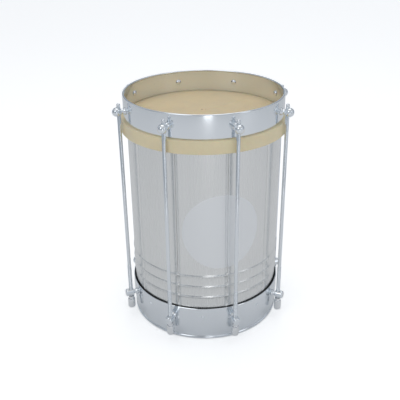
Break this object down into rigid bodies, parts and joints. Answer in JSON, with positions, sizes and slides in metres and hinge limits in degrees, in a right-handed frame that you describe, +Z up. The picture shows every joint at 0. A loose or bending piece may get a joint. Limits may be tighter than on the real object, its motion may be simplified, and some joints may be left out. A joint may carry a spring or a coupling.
{
  "type": "cuica",
  "caption": "Steel friction drum on its open end, with a lapped skin head, a tall counterhoop, tension rods and a stick under the head.",
  "frame": {"origin": "centre of the drum's footprint, at the plane it stands on", "axes": "+Z up along the drum's axis, front towards -Y, between two lugs"},
  "size_m": [0.2454, 0.2454, 0.3472],
  "materials": {
    "polished_steel": "polished stainless sheet with fine upright brushing",
    "chrome": "bright plated steel",
    "rod_steel": "bright plated rod",
    "nut_steel": "plated, softly worn at the corners",
    "bent_wood": "plain bent wood",
    "goat_skin": "natural scraped skin, slightly translucent",
    "bamboo": "smooth bamboo",
    "waxed_thread": "waxed thread"
  },
  "bodies": {
    "root": {"shell": "polished_steel", "bottom_ring": "chrome", "head_skin": "goat_skin", "bottom_lug_1": "chrome", "bottom_lug_2": "chrome", "bottom_lug_3": "chrome", "bottom_lug_4": "chrome", "bottom_lug_5": "chrome", "bottom_lug_6": "chrome", "bottom_lug_7": "chrome", "bottom_lug_8": "chrome", "bottom_lug_screw_1": "rod_steel", "bottom_lug_screw_2": "rod_steel", "bottom_lug_screw_3": "rod_steel", "bottom_lug_screw_4": "rod_steel", "bottom_lug_screw_5": "rod_steel", "bottom_lug_screw_6": "rod_steel", "bottom_lug_screw_7": "rod_steel", "bottom_lug_screw_8": "rod_steel"},
    "hoop": {"counterhoop": "chrome", "flesh_hoop": "bent_wood", "skin_lap": "goat_skin", "top_lug_1": "chrome", "top_lug_2": "chrome", "top_lug_3": "chrome", "top_lug_4": "chrome", "top_lug_5": "chrome", "top_lug_6": "chrome", "top_lug_7": "chrome", "top_lug_8": "chrome", "top_lug_screw_1": "rod_steel", "top_lug_screw_2": "rod_steel", "top_lug_screw_3": "rod_steel", "top_lug_screw_4": "rod_steel", "top_lug_screw_5": "rod_steel", "top_lug_screw_6": "rod_steel", "top_lug_screw_7": "rod_steel", "top_lug_screw_8": "rod_steel", "tension_rod_1": "rod_steel", "tension_rod_2": "rod_steel", "tension_rod_3": "rod_steel", "tension_rod_4": "rod_steel", "tension_rod_5": "rod_steel", "tension_rod_6": "rod_steel", "tension_rod_7": "rod_steel", "tension_rod_8": "rod_steel"},
    "nut_1": {"tension_nut_1": "nut_steel"},
    "nut_2": {"tension_nut_2": "nut_steel"},
    "nut_3": {"tension_nut_3": "nut_steel"},
    "nut_4": {"tension_nut_4": "nut_steel"},
    "nut_5": {"tension_nut_5": "nut_steel"},
    "nut_6": {"tension_nut_6": "nut_steel"},
    "nut_7": {"tension_nut_7": "nut_steel"},
    "nut_8": {"tension_nut_8": "nut_steel"},
    "tie": {"tie_thread": "waxed_thread"},
    "stick": {"stick": "bamboo"}
  },
  "joints": [
    {"name": "nut_1_turn", "type": "hinge", "parent": "root", "child": "nut_1", "pos_m": [0.04711, -0.11372, 0.012], "axis": [0, 0, 1], "range_deg": [-720, 1800]},
    {"name": "nut_2_turn", "type": "hinge", "parent": "root", "child": "nut_2", "pos_m": [0.11372, -0.04711, 0.012], "axis": [0, 0, 1], "range_deg": [-720, 1800]},
    {"name": "nut_3_turn", "type": "hinge", "parent": "root", "child": "nut_3", "pos_m": [0.11372, 0.04711, 0.012], "axis": [0, 0, 1], "range_deg": [-720, 1800]},
    {"name": "nut_4_turn", "type": "hinge", "parent": "root", "child": "nut_4", "pos_m": [0.04711, 0.11372, 0.012], "axis": [0, 0, 1], "range_deg": [-720, 1800]},
    {"name": "nut_5_turn", "type": "hinge", "parent": "root", "child": "nut_5", "pos_m": [-0.04711, 0.11372, 0.012], "axis": [0, 0, 1], "range_deg": [-720, 1800]},
    {"name": "nut_6_turn", "type": "hinge", "parent": "root", "child": "nut_6", "pos_m": [-0.11372, 0.04711, 0.012], "axis": [0, 0, 1], "range_deg": [-720, 1800]},
    {"name": "nut_7_turn", "type": "hinge", "parent": "root", "child": "nut_7", "pos_m": [-0.11372, -0.04711, 0.012], "axis": [0, 0, 1], "range_deg": [-720, 1800]},
    {"name": "nut_8_turn", "type": "hinge", "parent": "root", "child": "nut_8", "pos_m": [-0.04711, -0.11372, 0.012], "axis": [0, 0, 1], "range_deg": [-720, 1800]},
    {"name": "hoop_slide", "type": "slide", "parent": "root", "child": "hoop", "axis": [0, 0, -1], "range_m": [-0.002, 0.005]},
    {"name": "tie_sway", "type": "hinge", "parent": "root", "child": "tie", "pos_m": [0, 0, 0.31155], "axis": [1, 0, 0], "range_deg": [-6, 6]},
    {"name": "stick_sway", "type": "hinge", "parent": "tie", "child": "stick", "pos_m": [0, 0, 0.31155], "axis": [0, 1, 0], "range_deg": [-6, 6]}
  ],
  "couplings": [
    {"joint": "nut_1_turn", "follows": "hoop_slide", "rad_per_m": 6283.2},
    {"joint": "nut_2_turn", "follows": "hoop_slide", "rad_per_m": 6283.2},
    {"joint": "nut_3_turn", "follows": "hoop_slide", "rad_per_m": 6283.2},
    {"joint": "nut_4_turn", "follows": "hoop_slide", "rad_per_m": 6283.2},
    {"joint": "nut_5_turn", "follows": "hoop_slide", "rad_per_m": 6283.2},
    {"joint": "nut_6_turn", "follows": "hoop_slide", "rad_per_m": 6283.2},
    {"joint": "nut_7_turn", "follows": "hoop_slide", "rad_per_m": 6283.2},
    {"joint": "nut_8_turn", "follows": "hoop_slide", "rad_per_m": 6283.2}
  ]
}
